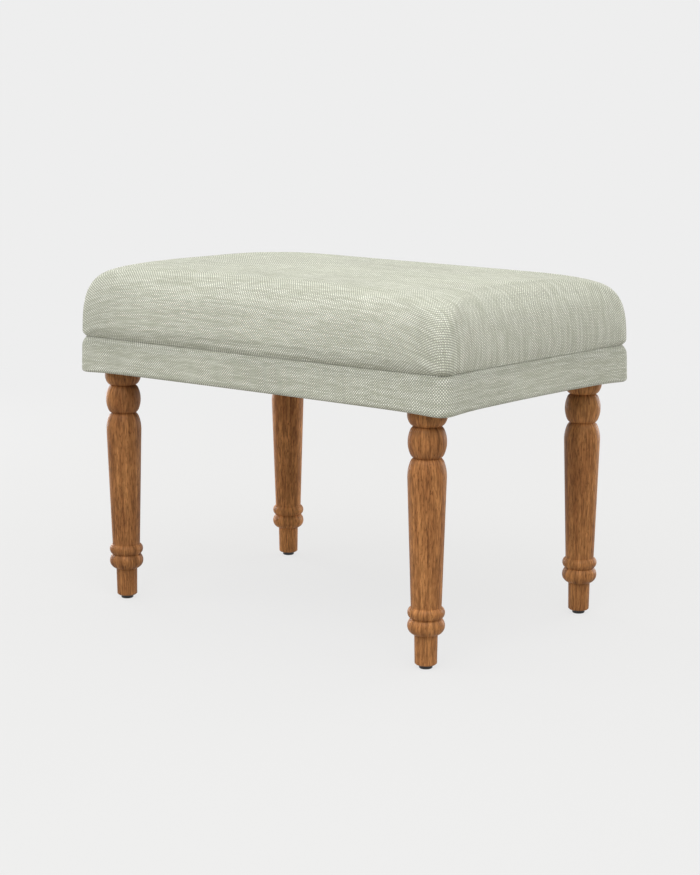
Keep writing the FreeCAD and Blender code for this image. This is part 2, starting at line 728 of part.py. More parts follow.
def write_parts():
    """Check every object and sub-part, then write one file per sub-part."""
    doc.recompute()
    for thing in doc.Objects:
        if "Invalid" in thing.State or "Error" in thing.State:
            raise RuntimeError(f"{thing.Label} failed: {thing.State}")
    for label, thing in parts.items():
        if thing.Shape.isNull() or not thing.Shape.isValid():
            raise RuntimeError(f"{label} has no sound shape")
    os.makedirs("parts", exist_ok=True)
    for label, thing in parts.items():
        thing.Shape.exportStep(f"parts/{label}.step")
        print(f"{label}: {len(thing.Shape.Solids)} solids, {thing.Shape.Volume / 1000:.1f} cm3")


write_parts()
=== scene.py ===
"""Looks of an upholstered bench: a seat of pulled cloth, a band of the same cloth and four turned legs."""

import math
from types import SimpleNamespace

import bpy
import numpy as np
from mathutils import Matrix, Vector


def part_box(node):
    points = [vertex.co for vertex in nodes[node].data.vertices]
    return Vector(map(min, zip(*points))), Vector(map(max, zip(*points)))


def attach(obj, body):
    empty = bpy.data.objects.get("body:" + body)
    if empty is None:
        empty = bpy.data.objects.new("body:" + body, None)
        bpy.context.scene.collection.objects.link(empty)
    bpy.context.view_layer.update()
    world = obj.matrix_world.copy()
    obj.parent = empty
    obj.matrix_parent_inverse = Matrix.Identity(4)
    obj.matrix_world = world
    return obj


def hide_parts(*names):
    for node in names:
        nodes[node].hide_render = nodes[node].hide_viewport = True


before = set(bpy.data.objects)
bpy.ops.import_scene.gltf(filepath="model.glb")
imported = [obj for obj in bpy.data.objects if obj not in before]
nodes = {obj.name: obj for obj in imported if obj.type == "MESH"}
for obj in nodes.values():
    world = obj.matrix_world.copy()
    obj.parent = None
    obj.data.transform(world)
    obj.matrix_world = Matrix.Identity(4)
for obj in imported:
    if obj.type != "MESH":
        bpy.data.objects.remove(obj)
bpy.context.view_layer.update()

# Camera, as it stood for the photograph
CAMERA_AZIMUTH = math.radians(40.039)
CAMERA_ELEVATION = math.radians(9.969)
CAMERA_AIM = Vector((-0.01868, 0.02326, 0.22209))
CAMERA_DISTANCE = 2.56471
CAMERA_LENS = 79.02
SENSOR_SIZE = 36.0

# Places of the seat's and the band's solids (this and all that follows is in metres)
SEAT_LOW, SEAT_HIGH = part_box("seat_cover")
BAND_LOW, BAND_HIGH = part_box("border_band")
BAND_RISE = 0.0005
BAND_TOP = BAND_HIGH.z + BAND_RISE

# Seat: its outline stands a little outside the solids, and its upper edge rounds off
PROUD = 0.0026
SIDE_SLACK = 0.0003
CORNER_RADIUS = 0.0180
CORNER_GROWTH = 2.54
EDGE_TOP = 0.4490
EDGE_INSET = 0.0388
EDGE_HEIGHT = 0.1197
EDGE_SQUARENESS = 4.28

# Seat: upper edge at the middle of a long side and of an end, as inset, squareness and slope of the wall
FRONT_EDGE = (0.048, 3.0, 0.14)
END_EDGE = (0.043, 2.3, 0.0)
MIDDLE_WIDEST = 0.335

# Seat: crown, sides that pull in or bulge between the corners, and a top that has settled
CROWN = 0.0050
END_DRAW = 0.0080
SIDE_DRAW = 0.0050
FRONT_BULGE = 0.0030
END_BULGE = 0.0005
TILT = 0.0041
CORNER_DROP = 0.0061

# Crease: the cover hangs over the band's top, rolls into the groove and is tucked down behind the band
GROOVE_ROLL = 0.0065
CREASE_GAP = 0.0004
SAG_CORNER = 0.0006
SAG_FRONT = 0.0014
SAG_END = 0.0006
SAG_REACH = 0.030
SKIRT_DEPTH = 0.0069

# Band: rolled top that follows the crease, face that dips at the corners, rounded foot and return
BAND_ROLL = 0.0120
BAND_ROLL_DEPTH = 0.0046
END_SHALLOWNESS = 0.45
BAND_SAG_SHARE = 0.3
BAND_SAG_REACH = 0.030
BAND_CORNER_DIP = 0.0024
BAND_DIP_REACH = 0.040
BAND_DIP_FADE = 0.0095
BAND_FOOT_ROUND = 0.0048
BAND_RETURN = 0.0246
BAND_FLARE = 0.0013
CORNER_TIGHTENING = 0.5
TIGHTENING_REACH = 0.010

# Layers under the cover: depth under the seat's surface, and thickness
COVER_THICKNESS = 0.0010
WRAP_DEPTH = 0.0045
WRAP_THICKNESS = 0.0065
WRAP_FOOT = 0.0035
FOAM_DEPTH = 0.0115
BASE_CHAMFER = 0.0020

# Band cloth and the padding behind it
BAND_THICKNESS = 0.0010
PADDING_THICKNESS = 0.0022
PADDING_CORNER = 0.0130
PADDING_EDGE = 0.0006
PADDING_EDGE_SHARPNESS = 6

# Flat cloths: the dust sheet stays level at its edge, over the legs, and hangs lower in the middle
DECK_THICKNESS = 0.0007
DUST_THICKNESS = 0.0003
DUST_GAP = 0.0001
DUST_SAG = 0.0035
LEVEL_END = 0.068
LEVEL_SIDE = 0.020
SAG_RISE = 0.120
BOLT_HOLE = 0.006

# Legs: each has its own grain, and its own tone that is painted light and shade: a leg's wood is made lighter
# or darker in place of the light that reaches it, the back left leg much lighter under the seat's shadow
LEGS = ["leg_front_left", "leg_front_right", "leg_back_left", "leg_back_right"]
LEG_PAINTED_LIGHT = dict(zip(LEGS, (0.88, 0.99, 1.28, 0.91)))
GRAIN_START = 1.7
GRAIN_STEP = 7.3

# Mesh steps
STEPS_LONG = 110
STEPS_SHORT = 76
CORNER_CROWDING = 0.75
PROFILE_SAMPLES = 2000
PROFILE_END = 0.01
SIDE_ROWS = 32
ROW_CROWDING = 1.4
LIP_ROWS = 4
SKIRT_ROWS = 5
TUCK_STEP = 0.004
ROLL_ROWS = 12
FACE_ROWS = 8
FOOT_ROWS = 6
RETURN_ROWS = 8
PADDING_ROWS = 10
FLAT_COLUMNS = 120
FLAT_ROWS = 80
OUTLINE_STEP = 0.001

# Weave: threads, painted shade along the band's top where the seat overhangs it, and threads on the bias at
# the seat's corners
THREAD = 0.0018
PAINTED_SHADE_REACH = 0.016
PAINTED_SHADE_WIDTH = 0.006
RIM_BLEND = 0.6
BIAS_ARCH = 0.032
BIAS_GROWTH = -0.05
BIAS_WIDTH = 0.050

# Simulation of the cover under pressure, and the furthest that a point may move
PRESSURE = 4.0
SWELL_FRAMES = 8
SWELL = 0.0018


# Outlines in plan
def side_steps(count):
    """Places from -1 to 1 along a side, closer together towards its two corners."""
    even = np.linspace(-1, 1, count + 1)
    return (1 - CORNER_CROWDING) * even + CORNER_CROWDING * np.sin(even * math.pi / 2)


LONG_STEPS = side_steps(STEPS_LONG)
SHORT_STEPS = side_steps(STEPS_SHORT)


def half_outline(steps, along, across, radius):
    """Run along and distance out of the places on one side, from corner middle to corner middle."""
    straight = along - radius
    reach = np.abs(steps) * (straight + radius * math.pi / 4)
    angle = np.clip((reach - straight) / radius, 0, math.pi / 4)
    run = np.minimum(reach, straight) + radius * np.sin(angle)
    out = across - radius * (1 - np.cos(angle))
    return np.sign(steps) * run, out


def sides_of(half_x, half_y, radius):
    """The four sides of a rounded outline in turn, each with both of its corner middles."""
    run, out = half_outline(LONG_STEPS, half_x, half_y, radius)
    rise, reach = half_outline(SHORT_STEPS, half_y, half_x, radius)
    return [
        np.stack([run, -out], 1),
        np.stack([reach, rise], 1),
        np.stack([-run, out], 1),
        np.stack([-reach, -rise], 1),
    ]


def loop_of(half_x, half_y, radius):
    """The whole outline as one ring of points."""
    return np.concatenate([side[:-1] for side in sides_of(half_x, half_y, radius)])


def cap_of(half_x, half_y, radius):
    """A grid of points that fills the outline, and how far out each one is, from 0 to 1."""
    a, b = np.meshgrid(LONG_STEPS, SHORT_STEPS)
    far = np.maximum(np.abs(a), np.abs(b))
    safe = np.maximum(far, 1e-9)
    run, out = half_outline(a / safe, half_x, half_y, radius)
    rise, reach = half_outline(b / safe, half_y, half_x, radius)
    on_long_side = np.abs(b) >= np.abs(a)
    x = far * np.where(on_long_side, run, np.sign(a) * reach)
    y = far * np.where(on_long_side, np.sign(b) * out, rise)
    return np.stack([x.ravel(), y.ravel()], 1), far.ravel()


def drawn_in(plan, half_x, half_y, bulge=0.0):
    """The sides pull in between the corners, less where the seat bulges over the band."""
    u = np.abs(plan[:, 0]) / half_x
    w = np.abs(plan[:, 1]) / half_y
    pull_x = END_DRAW * (1 - w**2) - bulge * END_BULGE * (1 - w**4)
    pull_y = SIDE_DRAW * (1 - u**2) - bulge * FRONT_BULGE * (1 - u**4)
    x = plan[:, 0] - np.sign(plan[:, 0]) * pull_x * u**3
    y = plan[:, 1] - np.sign(plan[:, 1]) * pull_y * w**3
    return np.stack([x, y], 1)


def eased(plan, half_x, half_y, end_lean, front_lean):
    """The upper edge leans further in towards the middle of each side."""
    u = np.clip(np.abs(plan[:, 0]) / half_x, 0, 1)
    w = np.clip(np.abs(plan[:, 1]) / half_y, 0, 1)
    x = plan[:, 0] - np.sign(plan[:, 0]) * end_lean * (1 - w**2) * u**4
    y = plan[:, 1] - np.sign(plan[:, 1]) * front_lean * (1 - u**2) * w**4
    return np.stack([x, y], 1)


def settled(plan, half_x, half_y):
    """How far the top sits lower at the corners and towards one end."""
    u = plan[:, 0] / half_x
    w = plan[:, 1] / half_y
    return CORNER_DROP * (u * w) ** 2 + TILT * u


# Meshes
def mesh_piece(name, points, quads, uv):
    """A smooth piece from points and quads, with the cut cloth's flat places as its map."""
    mesh = bpy.data.meshes.new(name)
    mesh.from_pydata([tuple(p) for p in points], [], [tuple(int(i) for i in q) for q in quads])
    layer = mesh.uv_layers.new(name="flat")
    layer.data.foreach_set("uv", np.asarray(uv, float).ravel())
    mesh.shade_smooth()
    mesh.update()
    piece = bpy.data.objects.new(name, mesh)
    bpy.context.scene.collection.objects.link(piece)
    return piece


def thicken(piece, thickness):
    """Give a cloth surface its thickness, inwards."""
    solidify = piece.modifiers.new("thickness", "SOLIDIFY")
    solidify.thickness = thickness
    solidify.offset = -1


def smooth(piece):
    """One subdivision for a finer surface."""
    subdivision = piece.modifiers.new("smooth", "SUBSURF")
    subdivision.levels = 1
    subdivision.render_levels = 1


def grid_quads(columns, rows, first=0):
    """Quads of a grid that is columns by rows points in size, seen from above."""
    corner = np.arange(columns * rows).reshape(rows, columns) + first
    parts = [corner[:-1, :-1], corner[:-1, 1:], corner[1:, 1:], corner[1:, :-1]]
    return np.stack([part.ravel() for part in parts], 1)


def ring_quads(upper, lower):
    """Quads of the wall between two rings of points."""
    return np.stack([lower, np.roll(lower, -1), np.roll(upper, -1), upper], 1)


def cap_rim(first=0):
    """Places of a cap's rim in its grid, in the order of a ring."""
    columns, rows = STEPS_LONG + 1, STEPS_SHORT + 1
    corner = np.arange(columns * rows).reshape(rows, columns) + first
    return np.concatenate([corner[0, :-1], corner[:-1, -1], corner[-1, :0:-1], corner[:0:-1, 0]])


# Seat
def edge_profile(base):
    """Inset, height and length run of the seat's side, from its upper edge down to a base."""
    turn = np.linspace(math.pi / 2, PROFILE_END, PROFILE_SAMPLES)
    inset = EDGE_INSET * (1 - np.cos(turn) ** (2 / EDGE_SQUARENESS))
    height = EDGE_TOP - EDGE_HEIGHT * (1 - np.sin(turn) ** (2 / EDGE_SQUARENESS))
    shown = height >= base
    return crowded_steps(inset[shown], height[shown], SIDE_ROWS)


def rounded_edge(height, widest, inset, squareness):
    """Inset at some heights of an edge that is widest at one height and rounds off to the top."""
    share = np.clip((height - widest) / (EDGE_TOP - widest), 0, 1)
    return inset * (1 - (1 - share**squareness) ** (1 / squareness))


def side_lean(height, inset, squareness, slope):
    """How much further in than at its corners the seat's side is at its middle, at some heights."""
    corner = rounded_edge(height, EDGE_TOP - EDGE_HEIGHT, EDGE_INSET, EDGE_SQUARENESS)
    leaning = slope * np.clip(height - MIDDLE_WIDEST, 0, None)
    return rounded_edge(height, MIDDLE_WIDEST, inset, squareness) + leaning - corner


def edge_lean(height, *edge):
    """The lean of a side's middle, counted from the seat's foot."""
    return side_lean(height, *edge) - side_lean(BAND_TOP, *edge)


def crowded_steps(inset, height, count):
    """A profile in steps that get smaller towards its end, with the length run at each place."""
    run = np.concatenate([[0], np.cumsum(np.hypot(np.diff(inset), np.diff(height)))])
    places = run[-1] * (1 - np.linspace(1, 0, count + 1) ** ROW_CROWDING)
    return np.interp(places, run, inset), np.interp(places, run, height), places


def half_run(along, radius):
    """Length of half a side, from its middle to the middle of the corner."""
    return along - radius + radius * math.pi / 4


def side_map(side, run, out):
    """Flat places of a side's points, from their run along the side and their distance out."""
    place = [np.stack([run, -out], -1), np.stack([out, run], -1)][side % 2]
    return place if side < 2 else -place


def on_the_bias(run, out, from_corner, arch, spare):
    """Ease the spare cloth round a corner: the threads turn, and their diagonals cross it in an arch."""
    across = from_corner - np.sqrt(from_corner**2 + arch**2)
    gathered = spare * (1 - np.tanh(from_corner / BIAS_WIDTH))
    return np.sign(run) * (np.abs(run) + (across + gathered) / 2), out + (across - gathered) / 2


def cap_map(half_x, half_y, radius):
    """Flat places of a cap's points: a plain grid in the middle, and the top of the wall's map at the rim."""
    plan, far = cap_of(half_x, half_y, radius)
    a, b = np.meshgrid(LONG_STEPS, SHORT_STEPS)
    a, b = a.ravel(), b.ravel()
    run, rise = half_run(half_x, radius), half_run(half_y, radius)
    spare = far * (half_x - run)
    share = np.clip((far - RIM_BLEND) / (1 - RIM_BLEND), 0, 1)
    share = share * share * (3 - 2 * share)
    u, v_out = on_the_bias(run * a, far * half_y, run * (far - np.abs(a)), BIAS_ARCH * share, spare)
    v, u_out = on_the_bias(rise * b, far * half_x, rise * (far - np.abs(b)), BIAS_ARCH * share, spare)
    on_long_side = np.abs(b) >= np.abs(a)
    on_side = np.stack([u, np.sign(b) * v_out], 1)
    on_end = np.stack([np.sign(a) * u_out, v], 1)
    rim = np.where(on_long_side[:, None], on_side, on_end)
    return plan + share[:, None] * (rim - plan)


def wall_rows(half_x, half_y, inset, radius, drop):
    """Flat places of every row of a seat's wall, for each of its four sides."""
    sides = []
    for side in range(4):
        steps = LONG_STEPS if side % 2 == 0 else SHORT_STEPS
        along, across = (half_x, half_y) if side % 2 == 0 else (half_y, half_x)
        spare = along - inset[0] - half_run(along - inset[0], radius[0])
        rows = []
        for row in range(len(inset)):
            length = half_run(along - inset[row], radius[row])
            out = across - inset[0] + drop[row]
            arch = BIAS_ARCH + BIAS_GROWTH * drop[row]
            flat = on_the_bias(steps * length, out, (1 - np.abs(steps)) * length, arch, spare)
            rows.append(side_map(side, *flat))
        sides.append(rows)
    return sides


def quad_map(upper, lower):
    """Flat places of the four corners of each quad between two rows of one side."""
    return np.stack([lower[:-1], lower[1:], upper[1:], upper[:-1]], 1)


def inset_ring(half_x, half_y, radius, inset):
    """An outline moved in by its own amount at each point."""
    outer = loop_of(half_x, half_y, radius)
    inner = loop_of(half_x - OUTLINE_STEP, half_y - OUTLINE_STEP, radius)
    return outer + (inner - outer) * (inset / OUTLINE_STEP)[:, None]


def side_middles(outline, half_x, half_y):
    """How near each point is to the middle of a long side and of an end, from 0 to 1."""
    u = np.clip(np.abs(outline[:, 0]) / half_x, 0, 1)
    w = np.clip(np.abs(outline[:, 1]) / half_y, 0, 1)
    return (1 - u**2) * w**4, (1 - w**2) * u**4


def crease_line(outline, half_x, half_y):
    """How far the band's top sags, how far the crease hangs over it, and how deep the groove is."""
    at_long, at_end = side_middles(outline, half_x, half_y)
    sag = SAG_FRONT * at_long + SAG_END * at_end
    depth = BAND_ROLL_DEPTH * (1 - END_SHALLOWNESS * at_end)
    return BAND_SAG_SHARE * sag, SAG_CORNER + (1 - BAND_SAG_SHARE) * sag, depth


def band_roll(below):
    """Share of the groove's depth that the band's rolled top has at some distance below its edge."""
    return np.clip(1 - below / BAND_ROLL, 0, 1) ** 2


def tuck_rows(base, sag, hang, depth):
    """Inset and height of the cover's rows from the crease back over the band's top and down behind it."""
    rows = []
    for share in np.linspace(0, 1, LIP_ROWS + 1)[1:]:
        below = hang * (1 - share)
        rows.append((depth * band_roll(below) - CREASE_GAP, base - sag - below))
    for share in np.linspace(0, 1, SKIRT_ROWS + 1):
        rows.append((np.full(len(sag), SKIRT_DEPTH), base - sag + (SEAT_LOW.z - base + sag) * share))
    return rows


def layer_form(depth, base, closed, tucked):
    """Sizes of one layer of the seat, a depth under its surface, with a value for each row of its wall."""
    form = SimpleNamespace(base=base)
    form.half_x = SEAT_HIGH.x + PROUD - SIDE_SLACK - depth
    form.half_y = SEAT_HIGH.y + PROUD - SIDE_SLACK - depth
    form.inset, surface, form.drop = edge_profile(base + depth + (BASE_CHAMFER if closed else 0.0))
    form.height = surface - depth
    form.radius = CORNER_RADIUS + CORNER_GROWTH * form.inset
    form.end_lean = edge_lean(form.height + depth, *END_EDGE)
    form.front_lean = edge_lean(form.height + depth, *FRONT_EDGE)
    above = form.height - base
    form.lift = np.clip(above / (EDGE_TOP - depth - base), 0, 1)
    form.follow = np.clip(1 - above / SAG_REACH, 0, 1) ** 2
    form.near = np.clip(1 - above / GROOVE_ROLL, 0, 1) ** 2 if tucked else np.zeros(len(above))
    return form


def shaped(form, plan, row, half_x, half_y):
    """A plan at one row of a layer's wall, leant in and drawn in between the corners."""
    plan = eased(plan, half_x, half_y, form.end_lean[row], form.front_lean[row])
    return drawn_in(plan, form.half_x, form.half_y, 1 - form.near[row])


def layer_top(form, rim_x, rim_y):
    """Points of a layer's crowned top."""
    plan, far = cap_of(rim_x, rim_y, form.radius[0])
    plan = shaped(form, plan, 0, rim_x, rim_y)
    z = form.height[0] + CROWN * (1 - far**2) - settled(plan, form.half_x, form.half_y)
    return np.column_stack([plan, z])


def layer_rings(form, tucked):
    """Rings of points of a layer's wall and, where it is tucked, on over the band and down behind it."""
    outline = loop_of(form.half_x, form.half_y, CORNER_RADIUS)
    sag, hang, groove_depth = crease_line(outline, form.half_x, form.half_y)
    crease = sag + hang if tucked else np.zeros(len(outline))
    groove = groove_depth * band_roll(hang) - CREASE_GAP
    rings = []
    for row in range(1, len(form.inset)):
        wall_x, wall_y = form.half_x - form.inset[row], form.half_y - form.inset[row]
        plan = inset_ring(wall_x, wall_y, form.radius[row], form.near[row] * groove)
        plan = shaped(form, plan, row, wall_x, wall_y)
        z = form.height[row] - form.lift[row] * settled(plan, form.half_x, form.half_y)
        rings.append(np.column_stack([plan, z - form.follow[row] * crease]))
    tucks = tuck_rows(form.base, sag, hang, groove_depth) if tucked else []
    for inset, height in tucks:
        plan = inset_ring(form.half_x, form.half_y, CORNER_RADIUS, inset)
        rings.append(np.column_stack([drawn_in(plan, form.half_x, form.half_y), height]))
    return rings


def layer_map(form, tucks):
    """Flat places of a layer's rows, with those of its tucked rows below the wall's."""
    below = form.drop[-1] + TUCK_STEP * np.arange(1, tucks + 1)
    return wall_rows(
        form.half_x,
        form.half_y,
        np.concatenate([form.inset, np.zeros(tucks)]),
        np.concatenate([form.radius, np.full(tucks, CORNER_RADIUS)]),
        np.concatenate([form.drop, below]),
    )


def layer_underside(form):
    """Points of a closed layer's flat underside, inside the chamfer round it."""
    base_x = form.half_x - form.inset[-1] - BASE_CHAMFER
    base_y = form.half_y - form.inset[-1] - BASE_CHAMFER
    plan, _ = cap_of(base_x, base_y, form.radius[-1])
    plan = shaped(form, plan, -1, base_x, base_y)
    return np.column_stack([plan, np.full(len(plan), form.base)])


def seat_layer(name, depth, base, closed=False, tucked=False):
    """One layer of the seat, from its crown down to its base, or tucked into the groove."""
    form = layer_form(depth, base, closed, tucked)
    rim_x, rim_y = form.half_x - form.inset[0], form.half_y - form.inset[0]
    rings = layer_rings(form, tucked)
    flat = layer_map(form, len(rings) + 1 - len(form.inset))
    points = [layer_top(form, rim_x, rim_y)]
    quads = [grid_quads(STEPS_LONG + 1, STEPS_SHORT + 1)]
    uv = [cap_map(rim_x, rim_y, form.radius[0])[quads[0]]]
    upper = cap_rim()
    count = len(points[0])
    for row, ring in enumerate(rings):
        lower = count + np.arange(len(ring))
        points.append(ring)
        quads.append(ring_quads(upper, lower))
        uv.extend(quad_map(rows[row], rows[row + 1]) for rows in flat)
        upper = lower
        count += len(ring)
    if closed:
        underside = grid_quads(STEPS_LONG + 1, STEPS_SHORT + 1, count)[:, ::-1]
        points.append(layer_underside(form))
        quads.extend([underside, ring_quads(upper, cap_rim(count))])
        uv.append(points[-1][underside - count, :2])
        uv.extend(quad_map(rows[-1], rows[-1]) for rows in flat)
    return mesh_piece(name, np.concatenate(points), np.concatenate(quads), np.concatenate(uv))


def swell(piece):
    """Let the filling push the cover out as cloth under pressure, held from the crease on down."""
    start = np.array([vertex.co[:] for vertex in piece.data.vertices])
    held_rings = LIP_ROWS + SKIRT_ROWS + 2
    held_points = held_rings * 2 * (STEPS_LONG + STEPS_SHORT)
    held = piece.vertex_groups.new(name="held")
    held.add(list(range(len(start) - held_points, len(start))), 1.0, "ADD")
    cloth = piece.modifiers.new("cloth", "CLOTH")
    cloth.settings.use_pressure = True
    cloth.settings.uniform_pressure_force = PRESSURE
    cloth.settings.vertex_group_mass = "held"
    cloth.settings.effector_weights.gravity = 0.0
    cloth.collision_settings.use_collision = False
    cloth.point_cache.frame_start = 1
    cloth.point_cache.frame_end = SWELL_FRAMES
    scene = bpy.context.scene
    for frame_number in range(1, SWELL_FRAMES + 1):
        scene.frame_set(frame_number)
    shown = piece.evaluated_get(bpy.context.evaluated_depsgraph_get())
    moved = np.array([vertex.co[:] for vertex in shown.data.vertices]) - start
    length = np.maximum(np.linalg.norm(moved, axis=1, keepdims=True), 1e-9)
    end = start + moved / length * SWELL * np.tanh(length / SWELL)
    piece.modifiers.remove(cloth)
    piece.vertex_groups.remove(held)
    scene.frame_set(1)
    piece.data.vertices.foreach_set("co", end.ravel())
    piece.data.update()


# Band and the padding behind it
def band_profile():
    """Inset and height round the band: top, face, rounded foot and flat return."""
    top, foot = BAND_TOP, BAND_LOW.z
    roll_height = np.linspace(top, top - BAND_ROLL, ROLL_ROWS + 1)
    turn = np.linspace(0, math.pi / 2, FOOT_ROWS + 1)
    foot_inset = BAND_FOOT_ROUND * (1 - np.cos(turn))
    foot_height = foot + BAND_FOOT_ROUND * (1 - np.sin(turn))
    face = np.linspace(roll_height[-1], foot_height[0], FACE_ROWS + 1)[1:-1]
    back = np.linspace(foot_inset[-1], BAND_RETURN, RETURN_ROWS + 1)[1:]
    inset = np.concatenate([np.zeros(len(roll_height) + len(face)), foot_inset, back])
    height = np.concatenate([roll_height, face, foot_height, np.full(len(back), foot)])
    return inset - BAND_FLARE * np.clip((top - height) / (top - foot), 0, 1), height


def padding_profile():
    """Inset and height of the thin wadding on the frame's outside, with softened edges."""
    low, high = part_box("rail_padding")
    inset = BAND_HIGH.x + PROUD - high.x
    share = np.linspace(0, 1, PADDING_ROWS + 1)
    edge = np.abs(2 * share - 1) ** PADDING_EDGE_SHARPNESS
    return inset + PADDING_EDGE * edge, high.z + (low.z - high.z) * share


def strip_round_frame(name, inset, height, corner, rolled=False):
    """A strip of cloth or wadding that goes round the frame, with or without a rolled top."""
    half_x, half_y = BAND_HIGH.x + PROUD, BAND_HIGH.y + PROUD
    drop = np.concatenate([[0], np.cumsum(np.hypot(np.diff(inset), np.diff(height)))])
    outline = loop_of(half_x, half_y, corner)
    from_corner = np.hypot(half_x - np.abs(outline[:, 0]), half_y - np.abs(outline[:, 1]))
    corner_dip = BAND_CORNER_DIP * np.exp(-((from_corner / BAND_DIP_REACH) ** 2))
    sag, _, depth = crease_line(outline, half_x, half_y)
    points, quads, uv = [], [], []
    count = 0
    for row in range(len(inset)):
        below = BAND_HIGH.z - height[row]
        roll = depth * band_roll(BAND_TOP - height[row]) if rolled else np.zeros(len(outline))
        low_share = below / (BAND_HIGH.z - BAND_LOW.z) * np.clip(1 - inset[row] / BAND_DIP_FADE, 0, 1)
        high_share = np.clip(1 - below / BAND_SAG_REACH, 0, 1) if rolled else 0.0
        radius = corner - CORNER_TIGHTENING * min(inset[row], TIGHTENING_REACH)
        plan = inset_ring(half_x - inset[row], half_y - inset[row], radius, roll)
        plan = drawn_in(plan, half_x, half_y)
        points.append(np.column_stack([plan, height[row] - low_share * corner_dip - high_share * sag]))
        if row > 0:
            upper = count - len(plan) + np.arange(len(plan))
            quads.append(ring_quads(upper, upper + len(plan)))
            uv.append(strip_map(half_x, half_y, corner, drop[row - 1], drop[row]))
        count += len(plan)
    return mesh_piece(name, np.concatenate(points), np.concatenate(quads), np.concatenate(uv))


def strip_map(half_x, half_y, corner, upper_drop, lower_drop):
    """Flat places of the quads of one row of a strip, with the strip's length along U."""
    rows = []
    start = 0.0
    for side in range(4):
        steps, along = (LONG_STEPS, half_x) if side % 2 == 0 else (SHORT_STEPS, half_y)
        run = start + (steps + 1) * half_run(along, corner)
        upper = np.stack([run, np.full(len(run), -upper_drop)], 1)
        lower = np.stack([run, np.full(len(run), -lower_drop)], 1)
        rows.append(quad_map(upper, lower))
        start = run[-1]
    return np.concatenate(rows)


# Flat cloths under the seat
def flat_cloth(name, low, high, height, sag):
    """A stretched cloth between two corners; it hangs lower in the middle and stays level at its edge."""
    across = np.linspace(low.x, high.x, FLAT_COLUMNS)
    along = np.linspace(low.y, high.y, FLAT_ROWS)
    x, y = np.meshgrid(across, along)
    plan = np.stack([x.ravel(), y.ravel()], 1)
    inside_x = np.clip((np.abs(high.x) - LEVEL_END - np.abs(plan[:, 0])) / SAG_RISE, 0, 1)
    inside_y = np.clip((np.abs(high.y) - LEVEL_SIDE - np.abs(plan[:, 1])) / SAG_RISE, 0, 1)
    hang = np.sin(inside_x * math.pi / 2) * np.sin(inside_y * math.pi / 2)
    plan = drawn_in(plan, high.x, high.y)
    points = np.column_stack([plan, height - sag * hang])
    quads = grid_quads(FLAT_COLUMNS, FLAT_ROWS)
    middle = plan[quads].mean(1)
    on_bolt = np.zeros(len(quads), bool)
    for leg in LEGS:
        place = leg_centre(leg)
        on_bolt |= np.hypot(middle[:, 0] - place.x, middle[:, 1] - place.y) < BOLT_HOLE
    quads = quads[~on_bolt]
    return mesh_piece(name, points, quads, plan[quads])


def leg_centre(leg):
    """Middle of a leg."""
    low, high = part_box(leg)
    return (low + high) / 2


# Soft pieces
seat = seat_layer("seat_cushion", 0.0, BAND_TOP + CREASE_GAP, tucked=True)
swell(seat)
wrap = seat_layer("wadding_wrap", WRAP_DEPTH, BAND_HIGH.z + WRAP_FOOT)
foam = seat_layer("foam_block", FOAM_DEPTH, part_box("foam_core")[0].z, closed=True)
band = strip_round_frame("band_cloth", *band_profile(), CORNER_RADIUS, rolled=True)
padding = strip_round_frame("frame_wadding", *padding_profile(), PADDING_CORNER)
deck = flat_cloth("deck_sheet", *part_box("deck_cloth"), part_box("deck_cloth")[1].z, 0.0)
dust = flat_cloth("dust_sheet", *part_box("dust_cover"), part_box("dust_cover")[1].z - DUST_GAP, DUST_SAG)


